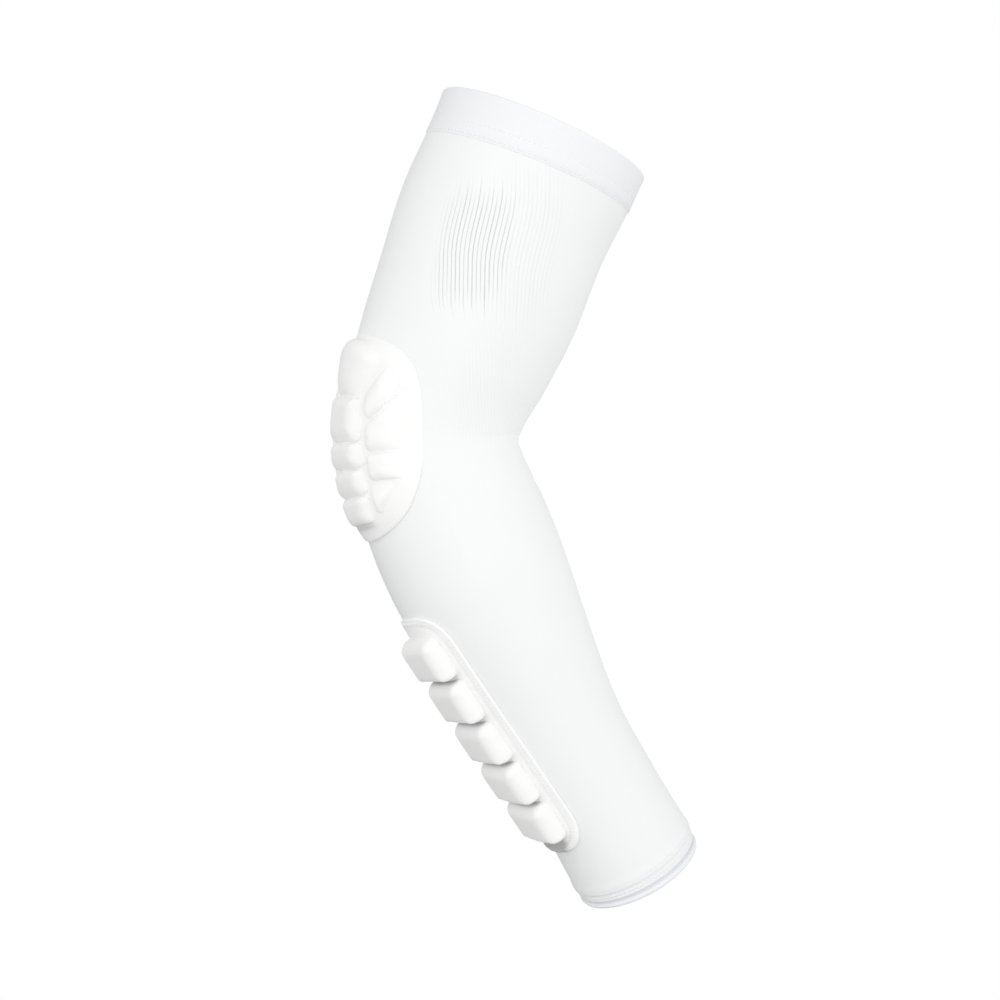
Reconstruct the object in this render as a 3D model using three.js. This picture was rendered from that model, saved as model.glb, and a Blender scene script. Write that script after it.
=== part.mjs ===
// A padded sports sleeve for the whole arm: a knitted tube bent at the elbow, a folded hem at each end,
// and two moulded foam pads, one over the point of the elbow and one along the forearm.
// Millimetres, +Z up. The origin is the middle of the elbow, where the arm inside bends. The point of the
// elbow faces -X, the front of the sleeve faces -Y, and the shoulder end is at the top.
import * as THREE from "three";

// Cloth
const KNIT = 1.4; // thickness of the knitted wall
const HEM_CLOTH = 2.4; // thickness of a hem, which is two layers of the knit
const HEM_PROUD = 0.5; // how far a hem stands out from the tube
const HEM_EDGE = 1.2; // radius of the fold at a rim
const UPPER_HEM = 22; // height of the hem round the upper arm
const WRIST_HEM = 11.5; // height of the hem round the wrist
const SEAM_GAP = 0.3; // gap between the tube and a hem

// Pads
const SEAT_GAP = 0.5; // gap between a piece and the curved face that it sits on
const PAD_RIM = 1.5; // thickness of a pad's base at its sewn edge
const PAD_RIM_SHARE = 0.95; // where a base comes to its full thickness, as a share of its outline
const ELBOW_BASE_THICK = 3.5; // full thickness of the elbow pad's base
const FOREARM_BASE_THICK = 1.5; // full thickness of the forearm pad's base
const CAP_HEIGHT = 2.1; // height of the elbow pad's top block above its base
const CENTRE_HEIGHT = 3; // height of the elbow pad's other middle blocks
const SIDE_HEIGHT = 3; // height of the elbow pad's side blocks
const BAR_HEIGHT = 7.5; // height of the forearm pad's blocks

// How finely the curved faces are divided
const AROUND = 36; // steps round the arm
const TUBE_STEPS = 28; // steps along the tube
const FACET = 9; // longest step over the curved face under a pad
const FEWEST_POINTS = 14; // points round the smallest outline
const DIFFERENCE = 0.05; // small step for measuring a slope

// Sections of the sleeve from the upper rim to the wrist rim. x and z place the middle of a section, back
// is how far it lies behind the elbow, lean is its tilt in degrees, width runs from the outer side of the
// arm to the inner side, and depth from the front to the back.
const SECTIONS = [
  { place: "upper rim", x: 56, z: 153, back: 3.5, lean: 23.5, width: 109, depth: 108 },
  { place: "upper hem", x: 49.6, z: 138, back: 3, lean: 21.5, width: 108.5, depth: 108 },
  { place: "biceps", x: 35.4, z: 108, back: 2, lean: 21, width: 107, depth: 106 },
  { place: "lower biceps", x: 22, z: 70, back: 0.5, lean: 20, width: 104, depth: 101 },
  { place: "above the elbow", x: 9.5, z: 38, back: 0, lean: 17, width: 97.5, depth: 94 },
  { place: "top of the bend", x: 2.5, z: 16, back: 0, lean: 8, width: 90.5, depth: 87 },
  { place: "elbow", x: 0, z: 0, back: 0, lean: 0, width: 87.5, depth: 83 },
  { place: "foot of the bend", x: 2.5, z: -15, back: 0, lean: -9, width: 88, depth: 83 },
  { place: "below the elbow", x: 8, z: -30, back: 0, lean: -15, width: 89, depth: 84 },
  { place: "forearm muscle", x: 15.5, z: -49, back: 1, lean: -24, width: 90, depth: 85 },
  { place: "lower muscle", x: 25, z: -70, back: 3, lean: -28, width: 88.5, depth: 84 },
  { place: "mid forearm", x: 43, z: -107, back: 9, lean: -30, width: 79, depth: 76 },
  { place: "lower forearm", x: 63, z: -147, back: 18, lean: -31.5, width: 69, depth: 66 },
  { place: "above the wrist", x: 85, z: -184, back: 29, lean: -31, width: 65.5, depth: 63 },
  { place: "wrist hem", x: 101, z: -212, back: 38, lean: -30.5, width: 67, depth: 63 },
  { place: "wrist rim", x: 106, z: -221.5, back: 41, lean: -28, width: 65, depth: 63 },
];

// Distance of each section from the upper rim, measured down the middle of the arm.
const middleOf = (row) => new THREE.Vector3(row.x, row.back, row.z);
const ALONG = [0];
for (let i = 1; i < SECTIONS.length; i++) {
  ALONG.push(ALONG[i - 1] + middleOf(SECTIONS[i]).distanceTo(middleOf(SECTIONS[i - 1])));
}
const SLEEVE_LENGTH = ALONG.at(-1);
const ELBOW_AT = ALONG[SECTIONS.findIndex((row) => row.place === "elbow")];

// The slope of a column at one section, from its neighbours.
function columnSlope(column, i) {
  const before = Math.max(i - 1, 0);
  const after = Math.min(i + 1, SECTIONS.length - 1);
  return (SECTIONS[after][column] - SECTIONS[before][column]) / (ALONG[after] - ALONG[before]);
}

// A column of the table at a distance along the arm, as a smooth cubic through its rows.
function columnAt(column, along) {
  const beyond = ALONG.findIndex((distance, i) => i > 0 && distance >= along);
  const i = beyond < 0 ? SECTIONS.length - 2 : beyond - 1;
  const span = ALONG[i + 1] - ALONG[i];
  const t = (along - ALONG[i]) / span;
  const rise = SECTIONS[i + 1][column] - SECTIONS[i][column];
  const ease = t * t * (3 - 2 * t);
  const lead = t * (1 - t) * (1 - t) * span * columnSlope(column, i);
  const trail = t * t * (1 - t) * span * columnSlope(column, i + 1);
  return SECTIONS[i][column] + ease * rise + lead - trail;
}

function middleAt(along) {
  return new THREE.Vector3(columnAt("x", along), columnAt("back", along), columnAt("z", along));
}

// A point on the tube's outer face. The angle is 0 on the arm's outer side and 90 degrees at the front.
function facePoint(along, angle) {
  const lean = THREE.MathUtils.degToRad(columnAt("lean", along));
  const across = new THREE.Vector3(Math.cos(lean), 0, -Math.sin(lean));
  const downArm = middleAt(along + DIFFERENCE).sub(middleAt(along - DIFFERENCE));
  const front = downArm.cross(across).normalize();
  return middleAt(along)
    .addScaledVector(across, (-columnAt("width", along) / 2) * Math.cos(angle))
    .addScaledVector(front, (columnAt("depth", along) / 2) * Math.sin(angle));
}

// A point lifted off the tube's outer face along its normal.
function liftedPoint(along, angle, lift) {
  const turn = DIFFERENCE / columnAt("width", along);
  const down = facePoint(along + DIFFERENCE, angle).sub(facePoint(along - DIFFERENCE, angle));
  const round = facePoint(along, angle + turn).sub(facePoint(along, angle - turn));
  const normal = down.cross(round).normalize();
  return facePoint(along, angle).addScaledVector(normal, lift);
}

// A closed face through rings of points: the rings join into a loop, or are capped by a point at each end.
function faceThroughRings(rings, caps = []) {
  const count = rings[0].length;
  const points = [...rings.flat(), ...caps];
  const corners = [];
  const joins = caps.length ? rings.length - 1 : rings.length;
  for (let i = 0; i < joins; i++) {
    const here = i * count;
    const there = ((i + 1) % rings.length) * count;
    for (let j = 0; j < count; j++) {
      const k = (j + 1) % count;
      corners.push(here + j, there + k, here + k, here + j, there + j, there + k);
    }
  }
  if (caps.length) {
    const first = rings.length * count;
    const lastRing = (rings.length - 1) * count;
    for (let j = 0; j < count; j++) {
      const k = (j + 1) % count;
      corners.push(first, j, k);
      corners.push(first + 1, lastRing + k, lastRing + j);
    }
  }
  const geometry = new THREE.BufferGeometry().setFromPoints(points);
  geometry.setIndex(corners);
  geometry.computeVertexNormals();
  return geometry;
}

// A band of cloth round the arm. Its wall is a closed outline of points, each with a distance along the arm
// and a lift off the tube's face, going down the outside and up the inside.
function bandRoundArm(outline) {
  const rings = outline.map(({ along, lift }) => {
    const angles = Array.from({ length: AROUND }, (_, j) => (j / AROUND) * 2 * Math.PI);
    return angles.map((angle) => liftedPoint(along, angle, lift));
  });
  return faceThroughRings(rings);
}

function tubeGeometry() {
  const top = UPPER_HEM + SEAM_GAP;
  const bottom = SLEEVE_LENGTH - WRIST_HEM - SEAM_GAP;
  const step = (bottom - top) / TUBE_STEPS;
  const stations = Array.from({ length: TUBE_STEPS + 1 }, (_, i) => top + i * step);
  const outside = stations.map((along) => ({ along, lift: 0 }));
  const inside = stations.map((along) => ({ along, lift: -KNIT })).reverse();
  return bandRoundArm([...outside, ...inside]);
}

// A hem: two layers of cloth, with a round fold at its rim. It runs from the rim towards the seam.
function hemGeometry(rim, seam) {
  const inward = Math.sign(seam - rim);
  const outer = HEM_PROUD;
  const inner = HEM_PROUD - HEM_CLOTH;
  const middle = (outer + inner) / 2;
  const foldAt = (share) => rim + inward * HEM_EDGE * (1 - Math.cos((share * Math.PI) / 2));
  const half = rim + (seam - rim) / 2;
  const wall = [
    { along: foldAt(0), lift: middle },
    { along: foldAt(0.5), lift: middle + (outer - middle) * Math.SQRT1_2 },
    { along: foldAt(1), lift: outer },
    { along: half, lift: outer },
    { along: seam, lift: outer },
    { along: seam, lift: inner },
    { along: half, lift: inner },
    { along: foldAt(1), lift: inner },
    { along: foldAt(0.5), lift: middle + (inner - middle) * Math.SQRT1_2 },
  ];
  return bandRoundArm(inward > 0 ? wall : wall.reverse());
}

// Where a pad sits: its middle lies a distance down the outer side from the elbow, turned to the front.
// Its blocks stand on a base of the given thickness.
const PAD_TURN = THREE.MathUtils.degToRad(22);
const ELBOW_PAD = { down: 0, turn: PAD_TURN, base: ELBOW_BASE_THICK };
const FOREARM_PAD = { down: 166, turn: PAD_TURN, base: FOREARM_BASE_THICK };

// Distances down the arm's face along one angle, measured from the elbow, at each millimetre of the arm.
function faceDistances(angle) {
  const steps = Array.from({ length: Math.floor(SLEEVE_LENGTH) + 1 }, (_, along) => along);
  const points = steps.map((along) => facePoint(along, angle));
  const run = [0];
  for (let i = 1; i < points.length; i++) {
    run.push(run[i - 1] + points[i].distanceTo(points[i - 1]));
  }
  const elbow = THREE.MathUtils.lerp(run[Math.floor(ELBOW_AT)], run[Math.ceil(ELBOW_AT)], ELBOW_AT % 1);
  return run.map((distance) => distance - elbow);
}
for (const pad of [ELBOW_PAD, FOREARM_PAD]) {
  pad.distances = faceDistances(pad.turn);
}

// A point of a pad: q runs down the arm and p round it towards the front, both over the tube's face.
function padPoint(pad, { p, q }, lift) {
  const down = pad.down + q;
  const beyond = pad.distances.findIndex((distance) => distance >= down);
  const before = pad.distances[beyond - 1];
  const along = beyond - 1 + (down - before) / (pad.distances[beyond] - before);
  const radius = (columnAt("width", along) + columnAt("depth", along)) / 4;
  return liftedPoint(along, pad.turn + p / radius, lift);
}

// A closed outline through corners, each rounded off by a curve that starts the given distance before it.
function roundedOutline(corners, rounding) {
  const path = new THREE.Path();
  const vertices = corners.map(([p, q]) => new THREE.Vector2(p, q));
  vertices.forEach((corner, i) => {
    const before = vertices.at(i - 1);
    const after = vertices[(i + 1) % vertices.length];
    const into = corner.clone().addScaledVector(before.clone().sub(corner).normalize(), rounding);
    const out = corner.clone().addScaledVector(after.clone().sub(corner).normalize(), rounding);
    if (i === 0) {
      path.moveTo(into.x, into.y);
    } else {
      path.lineTo(into.x, into.y);
    }
    path.quadraticCurveTo(corner.x, corner.y, out.x, out.y);
  });
  path.closePath();
  return spacedPoints(path);
}

// An egg-shaped outline of four curves. How full the upper and lower halves are is how far their curves run
// on before they turn, as a share of the half sizes.
function eggOutline({ halfWidth, above, below, fullAbove, fullBelow }) {
  const upper = halfWidth * fullAbove;
  const lower = halfWidth * fullBelow;
  const path = new THREE.Path();
  path.moveTo(halfWidth, 0);
  path.bezierCurveTo(halfWidth, below * fullBelow, lower, below, 0, below);
  path.bezierCurveTo(-lower, below, -halfWidth, below * fullBelow, -halfWidth, 0);
  path.bezierCurveTo(-halfWidth, -above * fullAbove, -upper, -above, 0, -above);
  path.bezierCurveTo(upper, -above, halfWidth, -above * fullAbove, halfWidth, 0);
  return spacedPoints(path);
}

// Points of a closed path, spread evenly and no further apart than a facet.
function spacedPoints(path) {
  const count = Math.max(FEWEST_POINTS, Math.ceil(path.getLength() / FACET));
  const points = path.getSpacedPoints(count).slice(0, count);
  return points.map(({ x, y }) => ({ p: x, q: y }));
}

function middleOfOutline(outline) {
  const middle = { p: 0, q: 0 };
  outline.forEach(({ p, q }) => {
    middle.p += p / outline.length;
    middle.q += q / outline.length;
  });
  return middle;
}

// Layers that spread level from an outline's middle to the outline itself, each no wider than a facet.
function levelLayers(outline, lift) {
  const middle = middleOfOutline(outline);
  const reach = Math.max(...outline.map(({ p, q }) => Math.hypot(p - middle.p, q - middle.q)));
  const count = Math.ceil(reach / FACET);
  return Array.from({ length: count }, (_, i) => ({ share: (i + 1) / count, lift }));
}

// A form that sits on a pad's seat: in each layer the outline shrinks towards its middle to a share of its
// size, and lies at the layer's lift above the tube.
function padForm(pad, outline, layers) {
  const middle = middleOfOutline(outline);
  const rings = layers.map(({ share, lift }) =>
    outline.map(({ p, q }) => {
      const point = {
        p: middle.p + share * (p - middle.p),
        q: middle.q + share * (q - middle.q),
      };
      return padPoint(pad, point, lift);
    }),
  );
  const caps = [layers[0].lift, layers.at(-1).lift].map((lift) => padPoint(pad, middle, lift));
  return faceThroughRings(rings, caps);
}

// The base of a pad, which follows the tube's face: a thin rim, and a level middle at its full thickness.
function baseGeometry(pad, outline) {
  const under = levelLayers(outline, SEAT_GAP);
  const rim = { share: 1, lift: SEAT_GAP + PAD_RIM };
  const middle = levelLayers(outline, SEAT_GAP + pad.base)
    .map(({ share, lift }) => ({ share: share * PAD_RIM_SHARE, lift }))
    .reverse();
  return padForm(pad, outline, [...under, rim, ...middle]);
}

// A foam block with upright lower sides and a crowned top: shares of its outline at parts of its height.
const BLOCK_PROFILE = [
  { share: 0.98, rise: 0.45 },
  { share: 0.88, rise: 0.82 },
  { share: 0.5, rise: 1 },
];
function blockGeometry(pad, corners, rounding, height) {
  const outline = roundedOutline(corners, rounding);
  const seat = 2 * SEAT_GAP + pad.base;
  const crown = BLOCK_PROFILE.map(({ share, rise }) => ({ share, lift: seat + rise * height }));
  return padForm(pad, outline, [...levelLayers(outline, seat), ...crown]);
}

// The middle column of the elbow pad: half the width of each block at its levels, from its top down.
const straight = (top, bottom, topHalf, bottomHalf) => [
  { q: top, half: topHalf },
  { q: bottom, half: bottomHalf },
];
const CENTRE_BLOCKS = [
  {
    name: "cap",
    height: CAP_HEIGHT,
    rounding: 4,
    levels: [{ q: -49.5, half: 18 }, { q: -43, half: 27.5 }, { q: -22, half: 15.5 }],
  },
  { name: "centre_1", height: CENTRE_HEIGHT, rounding: 4, levels: straight(-20, 1, 16.5, 17) },
  { name: "centre_2", height: CENTRE_HEIGHT, rounding: 3.5, levels: straight(2.5, 14.5, 18, 17.5) },
  { name: "centre_3", height: CENTRE_HEIGHT, rounding: 3.5, levels: straight(16, 28, 16.5, 16) },
  { name: "centre_4", height: CENTRE_HEIGHT, rounding: 3.5, levels: straight(29.5, 42.5, 16, 13.5) },
];

// The sides of the elbow pad: the p and q of each block's four corners, inner ones beside the middle column.
// The back side mirrors the front one.
const SIDE_BLOCKS = [
  { innerTop: [18, -22.5], outerTop: [30.5, -41.5], outerBottom: [38, -27], innerBottom: [20.5, -9.5] },
  { innerTop: [20.5, -6.5], outerTop: [39, -24.5], outerBottom: [39.5, 6.5], innerBottom: [20, 6.5] },
  { innerTop: [20.5, 8.5], outerTop: [38.5, 8.5], outerBottom: [37, 23.5], innerBottom: [20, 22] },
  { innerTop: [18.5, 24.5], outerTop: [34, 25.5], outerBottom: [29.5, 30.5], innerBottom: [19, 40] },
];
const SIDE_ROUNDING = 3;
const ELBOW_BASE = { halfWidth: 47.5, above: 52.5, below: 52, fullAbove: 0.88, fullBelow: 0.64 };

// The forearm pad: a row of equal bars, and the base round them.
const BAR = { count: 5, pitch: 25.2, length: 23.4, width: 33, rounding: 6 };
const FOREARM_BASE = { width: 48, length: 146, rounding: 20, middle: 1 };

// Corners down the front edge of a middle block and back up its mirrored edge.
function centreCorners(levels) {
  const front = levels.map(({ q, half }) => [half, q]);
  const back = levels.map(({ q, half }) => [-half, q]).reverse();
  return [...front, ...back];
}

// Corners of a side block, on the front or on the back side of the pad.
function sideCorners(row, side) {
  const { innerTop, outerTop, outerBottom, innerBottom } = row;
  const corners = [innerTop, outerTop, outerBottom, innerBottom].map(([p, q]) => [side * p, q]);
  return side > 0 ? corners : corners.reverse();
}

// A rectangle's corners round a middle q.
function rectangle(width, length, q) {
  return [
    [-width / 2, q - length / 2],
    [width / 2, q - length / 2],
    [width / 2, q + length / 2],
    [-width / 2, q + length / 2],
  ];
}

const knit = new THREE.MeshStandardMaterial({ color: 0xf1f2f3, roughness: 0.7, metalness: 0 });
const hemKnit = new THREE.MeshStandardMaterial({ color: 0xeceef3, roughness: 0.65, metalness: 0 });
const padSkin = new THREE.MeshStandardMaterial({ color: 0xf4f4f4, roughness: 0.6, metalness: 0 });
const foamSkin = new THREE.MeshStandardMaterial({ color: 0xf5f5f4, roughness: 0.55, metalness: 0 });

const sleeve = new THREE.Group();
function addPiece(name, geometry, material) {
  const piece = new THREE.Mesh(geometry, material);
  piece.name = name;
  sleeve.add(piece);
}

addPiece("sleeve_tube", tubeGeometry(), knit);
addPiece("upper_hem", hemGeometry(0, UPPER_HEM), hemKnit);
addPiece("wrist_hem", hemGeometry(SLEEVE_LENGTH, SLEEVE_LENGTH - WRIST_HEM), hemKnit);

addPiece("elbow_pad_base", baseGeometry(ELBOW_PAD, eggOutline(ELBOW_BASE)), padSkin);
for (const { name, height, rounding, levels } of CENTRE_BLOCKS) {
  const block = blockGeometry(ELBOW_PAD, centreCorners(levels), rounding, height);
  addPiece(`elbow_block_${name}`, block, foamSkin);
}
SIDE_BLOCKS.forEach((row, i) => {
  const front = blockGeometry(ELBOW_PAD, sideCorners(row, 1), SIDE_ROUNDING, SIDE_HEIGHT);
  const back = blockGeometry(ELBOW_PAD, sideCorners(row, -1), SIDE_ROUNDING, SIDE_HEIGHT);
  addPiece(`elbow_block_front_${i + 1}`, front, foamSkin);
  addPiece(`elbow_block_back_${i + 1}`, back, foamSkin);
});

const forearmCorners = rectangle(FOREARM_BASE.width, FOREARM_BASE.length, FOREARM_BASE.middle);
const forearmOutline = roundedOutline(forearmCorners, FOREARM_BASE.rounding);
addPiece("forearm_pad_base", baseGeometry(FOREARM_PAD, forearmOutline), padSkin);
for (let i = 0; i < BAR.count; i++) {
  const q = (i - (BAR.count - 1) / 2) * BAR.pitch;
  const corners = rectangle(BAR.width, BAR.length, q);
  const bar = blockGeometry(FOREARM_PAD, corners, BAR.rounding, BAR_HEIGHT);
  addPiece(`forearm_block_${i + 1}`, bar, foamSkin);
}

export default sleeve;
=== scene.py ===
import bpy
import numpy as np
from mathutils import Matrix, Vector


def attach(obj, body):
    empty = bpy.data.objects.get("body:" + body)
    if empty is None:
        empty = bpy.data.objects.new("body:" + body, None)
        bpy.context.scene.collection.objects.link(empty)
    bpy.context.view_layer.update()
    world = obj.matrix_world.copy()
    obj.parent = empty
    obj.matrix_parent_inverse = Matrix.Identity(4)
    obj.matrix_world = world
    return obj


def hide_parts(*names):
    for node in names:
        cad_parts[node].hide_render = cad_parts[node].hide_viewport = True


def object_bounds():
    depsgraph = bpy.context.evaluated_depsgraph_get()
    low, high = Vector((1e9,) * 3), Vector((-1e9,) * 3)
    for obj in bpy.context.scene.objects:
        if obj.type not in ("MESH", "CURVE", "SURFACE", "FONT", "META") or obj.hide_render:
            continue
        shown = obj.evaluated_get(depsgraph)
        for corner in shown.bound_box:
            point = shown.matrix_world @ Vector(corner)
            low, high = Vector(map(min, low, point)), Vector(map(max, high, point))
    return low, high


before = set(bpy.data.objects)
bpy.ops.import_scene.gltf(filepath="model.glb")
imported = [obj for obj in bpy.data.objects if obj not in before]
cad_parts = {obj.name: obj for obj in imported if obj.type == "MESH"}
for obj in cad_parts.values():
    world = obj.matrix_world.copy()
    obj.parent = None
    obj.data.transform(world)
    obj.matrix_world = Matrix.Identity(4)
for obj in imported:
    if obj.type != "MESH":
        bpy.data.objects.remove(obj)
cad_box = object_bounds()

# Sleeve tube
# The sleeve itself is a white stretch jersey, knitted as a tube and shaped by the bent arm that wears it,
# from the upper arm to the wrist. Where it is stretched over the upper arm its wales open into fine ribs.
MM = 0.001
KNIT_WALL = 1.4
SEAM_GAP = 0.3
UPPER_HEM_HEIGHT = 22.0
WRIST_HEM_HEIGHT = 11.5
SLOPE_STEP = 0.05

ARM_COLUMNS = ("x", "back", "z", "lean", "width", "depth")
ARM_SECTIONS = np.array([
    (56, 3.5, 153, 23.5, 109, 108),  # upper rim
    (49.6, 3, 138, 21.5, 108.5, 108),  # upper hem
    (35.4, 2, 108, 21, 107, 106),  # biceps
    (22, 0.5, 70, 20, 104, 101),  # lower biceps
    (9.5, 0, 38, 17, 97.5, 94),  # above the elbow
    (2.5, 0, 16, 8, 90.5, 87),  # top of the bend
    (0, 0, 0, 0, 87.5, 83),  # elbow
    (2.5, 0, -15, -9, 88, 83),  # foot of the bend
    (8, 0, -30, -15, 89, 84),  # below the elbow
    (15.5, 1, -49, -24, 90, 85),  # forearm muscle
    (25, 3, -70, -28, 88.5, 84),  # lower muscle
    (43, 9, -107, -30, 79, 76),  # mid forearm
    (63, 18, -147, -31.5, 69, 66),  # lower forearm
    (85, 29, -184, -31, 65.5, 63),  # above the wrist
    (101, 38, -212, -30.5, 67, 63),  # wrist hem
    (106, 41, -221.5, -28, 65, 63),  # wrist rim
])
ELBOW_ROW = 6
STEPS_DOWN = np.linalg.norm(np.diff(ARM_SECTIONS[:, :3], axis=0), axis=1)
ARM_AT = np.concatenate([[0.0], np.cumsum(STEPS_DOWN)])
SLEEVE_LENGTH = ARM_AT[-1]
ELBOW_AT = ARM_AT[ELBOW_ROW]


def unit(vectors):
    """Vectors divided by their own lengths."""
    return vectors / np.linalg.norm(vectors, axis=-1, keepdims=True)


def ease(value, start, end):
    """A soft step: 0 at start, 1 at end, and three t squared less two t cubed between them."""
    t = np.clip((value - start) / (end - start), 0, 1)
    return t * t * (3 - 2 * t)


def arm_column(name, along):
    """A column of the table at distances along the arm: a cubic between two rows, which keeps at each row
    the slope of the line through the rows on either side of it."""
    values = ARM_SECTIONS[:, ARM_COLUMNS.index(name)]
    rows = np.arange(len(values))
    before = np.maximum(rows - 1, 0)
    after = np.minimum(rows + 1, len(values) - 1)
    slopes = (values[after] - values[before]) / (ARM_AT[after] - ARM_AT[before])
    row = np.clip(np.searchsorted(ARM_AT, along) - 1, 0, len(values) - 2)
    span = ARM_AT[row + 1] - ARM_AT[row]
    t = (along - ARM_AT[row]) / span
    lead = t * (1 - t) ** 2 * span * slopes[row]
    trail = t * t * (1 - t) * span * slopes[row + 1]
    rise = values[row + 1] - values[row]
    return values[row] + t * t * (3 - 2 * t) * rise + lead - trail


def arm_middle(along):
    """Points on the middle line of the arm."""
    return np.stack([arm_column(name, along) for name in ("x", "back", "z")], axis=-1)


def arm_face(along, angle):
    """Points on the tube's outer face: the arm's middle, less half the width across times the angle's
    cosine, plus half the depth forwards times its sine. The angle is 0 on the arm's outer side."""
    lean = np.radians(arm_column("lean", along))
    across = np.stack([np.cos(lean), np.zeros_like(lean), -np.sin(lean)], axis=-1)
    down = arm_middle(along + SLOPE_STEP) - arm_middle(along - SLOPE_STEP)
    forward = unit(np.cross(down, across))
    sideways = -0.5 * arm_column("width", along) * np.cos(angle)
    ahead = 0.5 * arm_column("depth", along) * np.sin(angle)
    return arm_middle(along) + sideways[..., None] * across + ahead[..., None] * forward


def lifted(along, angle, lift):
    """Points on the tube's outer face, moved out along its normal by a lift."""
    along, angle, lift = (np.array(a, float) for a in np.broadcast_arrays(along, angle, lift))
    turn = SLOPE_STEP / arm_column("width", along)
    down = arm_face(along + SLOPE_STEP, angle) - arm_face(along - SLOPE_STEP, angle)
    around = arm_face(along, angle + turn) - arm_face(along, angle - turn)
    return arm_face(along, angle) + lift[..., None] * unit(np.cross(down, around))


def ring_faces(rows, columns):
    """Four-sided faces of a grid that closes on itself both ways, as a band round the arm does."""
    row, column = np.meshgrid(np.arange(rows), np.arange(columns), indexing="ij")
    below = (row + 1) % rows
    beside = (column + 1) % columns
    corners = [(row, column), (below, column), (below, beside), (row, beside)]
    return np.stack([r * columns + c for r, c in corners], axis=-1).reshape(-1, 4)


def ring_uv(across, down):
    """Places of those faces' corners in the cloth, in millimetres across the wales and along them. Both
    lists hold one value more than the grid has columns or rows, so that the cloth doesn't fold back."""
    row, column = np.meshgrid(np.arange(len(down) - 1), np.arange(len(across) - 1), indexing="ij")
    corners = [(row, column), (row + 1, column), (row + 1, column + 1), (row, column + 1)]
    return np.stack([np.stack([across[c], down[r]], axis=-1) for r, c in corners], axis=2).reshape(-1, 2)


def new_piece(name, points, faces, corner_uv, material, slot, nodes=(), pressed=None):
    """A smooth mesh from points in millimetres, a list of faces and the place of each corner in the cloth.
    It rides on the sleeve and stands for the CAD nodes that are named. Where shade is painted on it, the
    share of the painted shade is kept as an attribute of the points."""
    mesh = bpy.data.meshes.new(name)
    mesh.from_pydata((np.reshape(points, (-1, 3)) * MM).tolist(), [], faces)
    mesh.shade_smooth()
    mesh.uv_layers.new(name="cloth").data.foreach_set("uv", np.ravel(corner_uv))
    if pressed is not None:
        mesh.attributes.new("pressed", "FLOAT", "POINT").data.foreach_set("value", np.ravel(pressed))
    mesh.materials.append(material)
    piece = bpy.data.objects.new(name, mesh)
    bpy.context.collection.objects.link(piece)
    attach(piece, "root")
    if nodes:
        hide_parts(*nodes)
    return piece


# Ribs: the wales of the knit stay upright at the front of the upper arm, and sway to the outer side.
RIB_PITCH = 2.2
RIB_RADIUS = 53.0
RIB_DEPTH = 0.5
COLUMNS_PER_RIB = 9
RIBBED_FROM = np.radians(90) - 40 / RIB_RADIUS
RIBBED_TO = np.radians(90) + 46 / RIB_RADIUS
PLAIN_COLUMNS = 96
OUTSIDE_ROWS = 190
EDGE_ROW = 0.1
INSIDE_ROWS = 24
WALE_X = 31.0
WALE_SWAY = (
    # move along x, and the heights from and to which it comes in
    (-6.5, 118, 80),
    (4.0, 62, 44),
)
RIB_LEAN = 0.16
RIB_NARROW = 10
RIB_RAGGED = {"height": 4.0, "beat": 2.4}
RIB_UNEVEN = {"share": 0.15, "beat": 1.7}
RIB_FADE = (0.55, 1.0)
RIB_PATCHES = np.array([
    # x, z, half width, half height, strength
    (22, 91, 22, 34, 0.85),
    (44, 92, 22, 42, 0.3),
    (32, 26, 22, 32, 0.12),
])
WRIST_FLARE = {"height": 0.5, "reach": 4.5}
BEND_SIDES = ((95, 165), (200, 265))  # degrees round the arm where the bend's inside sets in, and ends
BEND_CREASES = (
    # distance below the elbow, half width, depth
    (0, 5.0, 0.9),
    (34, 4.0, 0.5),
)
SLACK_WAVES = (
    # height, length down the arm for one radian, waves round it, start in radians
    (0.06, 17.0, 2, 0.0),
    (0.04, 9.0, -3, 1.3),
)
SLACK_REACH = 12


def wale_turn(along):
    """How far the wales have turned round the arm at a distance along it: the arc sine of their way from the
    arm's middle over its half width. They move out by the sway, and keep their place below the elbow."""
    reach = np.minimum(along, ELBOW_AT)
    z = arm_column("z", reach)
    sway = sum(move * ease(z, start, end) for move, start, end in WALE_SWAY)
    half = 0.5 * arm_column("width", reach) * np.cos(np.radians(arm_column("lean", reach)))
    return np.arcsin((WALE_X + sway - arm_column("x", reach)) / half)


def rib_strength(points, rib):
    """How deep the ribs are at places on the front: the strongest of the soft patches of the table. They lean
    with the upper arm, are square with round corners by the fourth power, and each rib starts and ends at its
    own height and has its own strength, by sines of its number."""
    ragged = RIB_RAGGED["height"] * np.sin(RIB_RAGGED["beat"] * rib)[..., None]
    above = points[..., 2, None] - RIB_PATCHES[:, 1]
    beside = points[..., 0, None] - RIB_PATCHES[:, 0] - RIB_LEAN * above
    across = beside / RIB_PATCHES[:, 2]
    upright = (above + ragged) / RIB_PATCHES[:, 3]
    reach = (across ** 4 + upright ** 4) ** 0.25
    strength = np.max(RIB_PATCHES[:, 4] * (1 - ease(reach, *RIB_FADE)), axis=-1)
    return strength * (1 + RIB_UNEVEN["share"] * (np.sin(RIB_UNEVEN["beat"] * rib) - 1))


def rib_grooves(along, turn, angle):
    """How far the knit opens between two wales: a cosine wave across them, to a power that makes it narrow,
    times the strength of the ribs at that place."""
    wave = (turn - RIBBED_FROM) / (RIB_PITCH / RIB_RADIUS)
    groove = (0.5 + 0.5 * np.cos(2 * np.pi * wave)) ** RIB_NARROW
    ribbed = (turn > RIBBED_FROM) & (turn < RIBBED_TO)
    return groove * ribbed * rib_strength(arm_face(along, angle), np.round(wave))


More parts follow.
